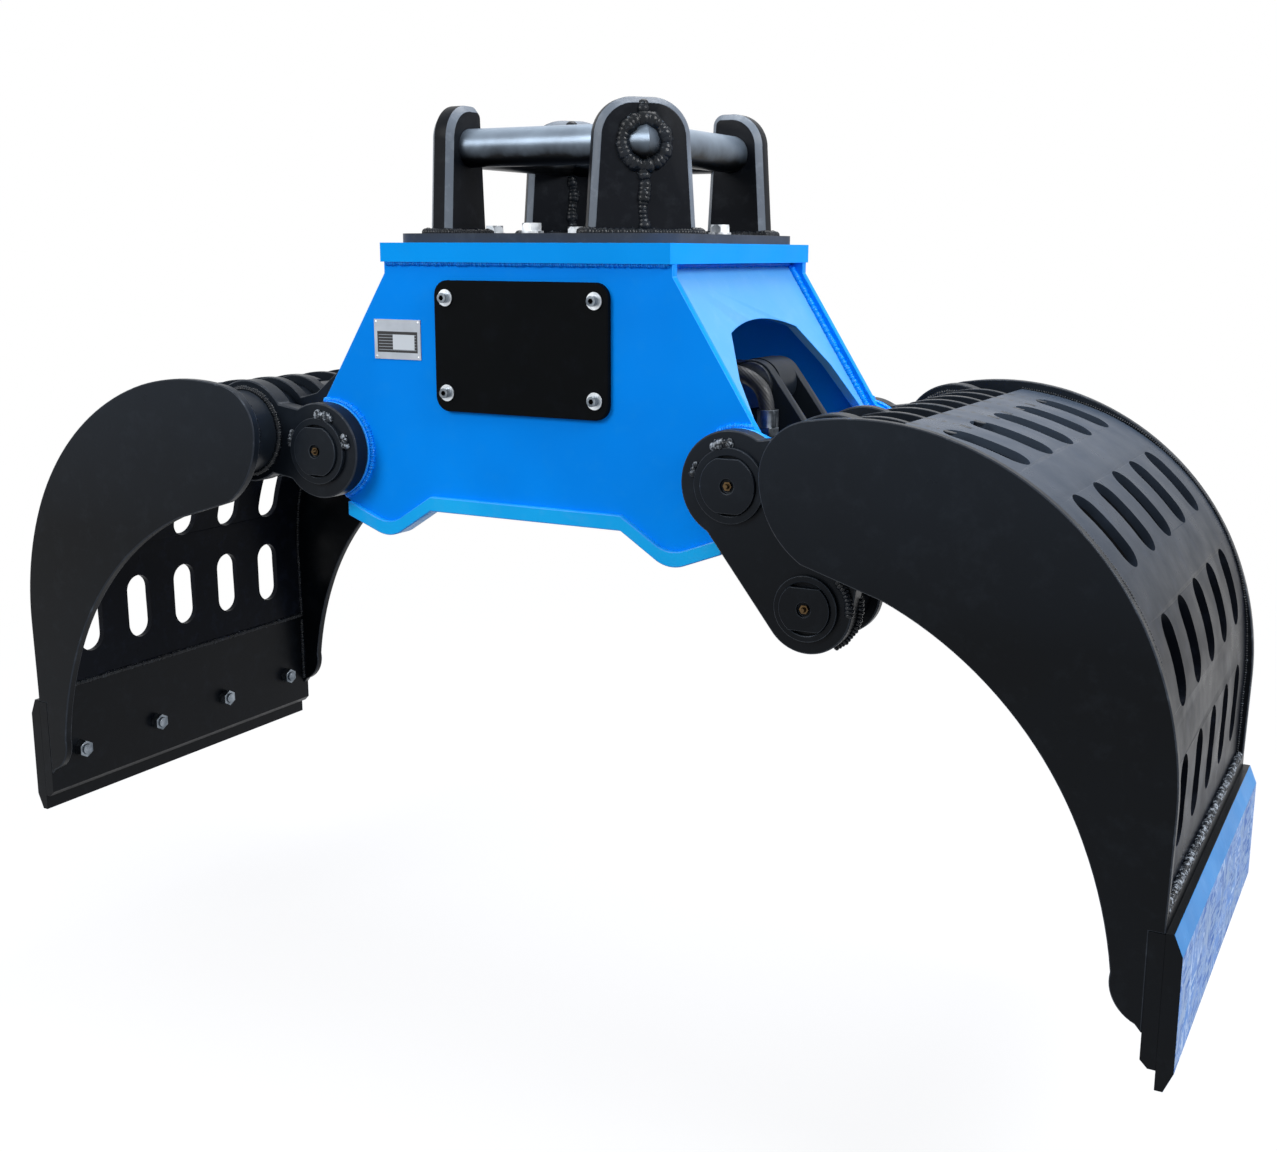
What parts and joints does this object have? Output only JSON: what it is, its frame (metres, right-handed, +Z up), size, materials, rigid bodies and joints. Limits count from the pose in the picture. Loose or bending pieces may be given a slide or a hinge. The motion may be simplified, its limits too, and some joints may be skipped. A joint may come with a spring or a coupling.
{
  "type": "sorting grapple",
  "caption": "Hydraulic sorting grapple with two slotted clamshell jaws closed by one cylinder and kept level by a tie link, under a square pin head for a quick coupler.",
  "frame": {"origin": "bottom centre of the grapple, midway between the two blade edges it stands on", "axes": "+X runs across the jaws from the left jaw to the right jaw, +Y along the jaw width away from the viewer, +Z up through the pin head"},
  "size_m": [1.744, 0.6, 1.064],
  "materials": {
    "blue_paint": "gloss blue paint",
    "dark_paint": "satin dark grey paint",
    "cover_paint": "satin near-black paint",
    "zinc_steel": "zinc plated steel",
    "bronze": "machined bronze",
    "pin_steel": "oiled hardened steel",
    "brass": "turned brass",
    "tag_metal": "bare printed plate left blank",
    "rod_chrome": "hard chrome",
    "piston_steel": "turned steel",
    "hose_rubber": "black wrapped hydraulic hose",
    "worn_edge_steel": "blue paint worn through to scuffed steel",
    "black_paint": "semi-gloss black paint"
  },
  "bodies": {
    "frame": {"belly_flanges": "blue_paint", "body_plate_front": "blue_paint", "body_plate_rear": "blue_paint", "cover_plates": "cover_paint", "cover_screws": "zinc_steel", "deck_plate": "blue_paint", "ear_front_left": "dark_paint", "ear_rear_right": "dark_paint", "ears_diagonal": "dark_paint", "end_plate_left": "blue_paint", "end_plate_right": "blue_paint", "head_bolts": "zinc_steel", "head_plate": "dark_paint", "hitch_pins": "dark_paint", "pivot_bosses": "blue_paint", "pivot_bushes": "bronze", "rating_tag": "tag_metal"},
    "jaw_right": {"arm_front_right": "black_paint", "arm_rear_right": "black_paint", "blade_bolts_right": "zinc_steel", "cylinder_lugs_right": "black_paint", "grease_nipples_right": "brass", "jaw_blade_right": "worn_edge_steel", "jaw_lip_right": "black_paint", "jaw_ribs_right": "black_paint", "jaw_shell_right": "black_paint", "jaw_side_front_right": "black_paint", "jaw_side_rear_right": "black_paint", "lug_pin_right": "pin_steel", "pin_collars_right": "black_paint", "pivot_pin_right": "black_paint", "torque_tube_right": "black_paint", "lower_cheek": "black_paint", "lower_pin": "black_paint"},
    "jaw_left": {"arms_left": "black_paint", "blade_bolts_left": "zinc_steel", "cylinder_lugs_left": "black_paint", "grease_nipples_left": "brass", "jaw_blade_left": "worn_edge_steel", "jaw_lip_left": "black_paint", "jaw_ribs_left": "black_paint", "jaw_shell_left": "black_paint", "jaw_side_front_left": "black_paint", "jaw_side_rear_left": "black_paint", "lug_pin_left": "pin_steel", "pin_collars_left": "black_paint", "pivot_pin_left": "black_paint", "torque_tube_left": "black_paint", "link_cheeks": "black_paint"},
    "barrel": {"cylinder_barrel": "black_paint", "barrel_eye_bush": "bronze", "cylinder_gland": "piston_steel", "cylinder_hose": "hose_rubber", "hose_fittings": "zinc_steel"},
    "rod": {"cylinder_rod": "rod_chrome", "cylinder_piston": "piston_steel", "rod_eye_bush": "bronze"},
    "link": {"sync_link": "black_paint", "link_bushes": "bronze", "link_top_pin": "pin_steel"}
  },
  "joints": [
    {"name": "jaw_right_swing", "type": "hinge", "parent": "frame", "child": "jaw_right", "pos_m": [0.3145, 0, 0.604], "axis": [0, 1, 0], "range_deg": [0, 64.5]},
    {"name": "jaw_left_swing", "type": "hinge", "parent": "frame", "child": "jaw_left", "pos_m": [-0.3145, 0, 0.604], "axis": [0, 1, 0], "range_deg": [-64.5, 0]},
    {"name": "barrel_hinge", "type": "hinge", "parent": "jaw_right", "child": "barrel", "pos_m": [0.25047, 0, 0.70549], "axis": [0, 1, 0], "range_deg": [-64.5, 0]},
    {"name": "rod_hinge", "type": "hinge", "parent": "jaw_left", "child": "rod", "pos_m": [-0.25047, 0, 0.70549], "axis": [0, 1, 0], "range_deg": [0, 64.5]},
    {"name": "link_hinge", "type": "hinge", "parent": "jaw_right", "child": "link", "pos_m": [0.416, 0, 0.466], "axis": [0, 1, 0], "range_deg": [-64.5, 0]}
  ],
  "couplings": [
    {"joint": "jaw_left_swing", "follows": "jaw_right_swing", "ratio": -1},
    {"joint": "barrel_hinge", "follows": "jaw_right_swing", "ratio": -1},
    {"joint": "rod_hinge", "follows": "jaw_right_swing", "ratio": 1},
    {"joint": "link_hinge", "follows": "jaw_right_swing", "ratio": -1}
  ]
}
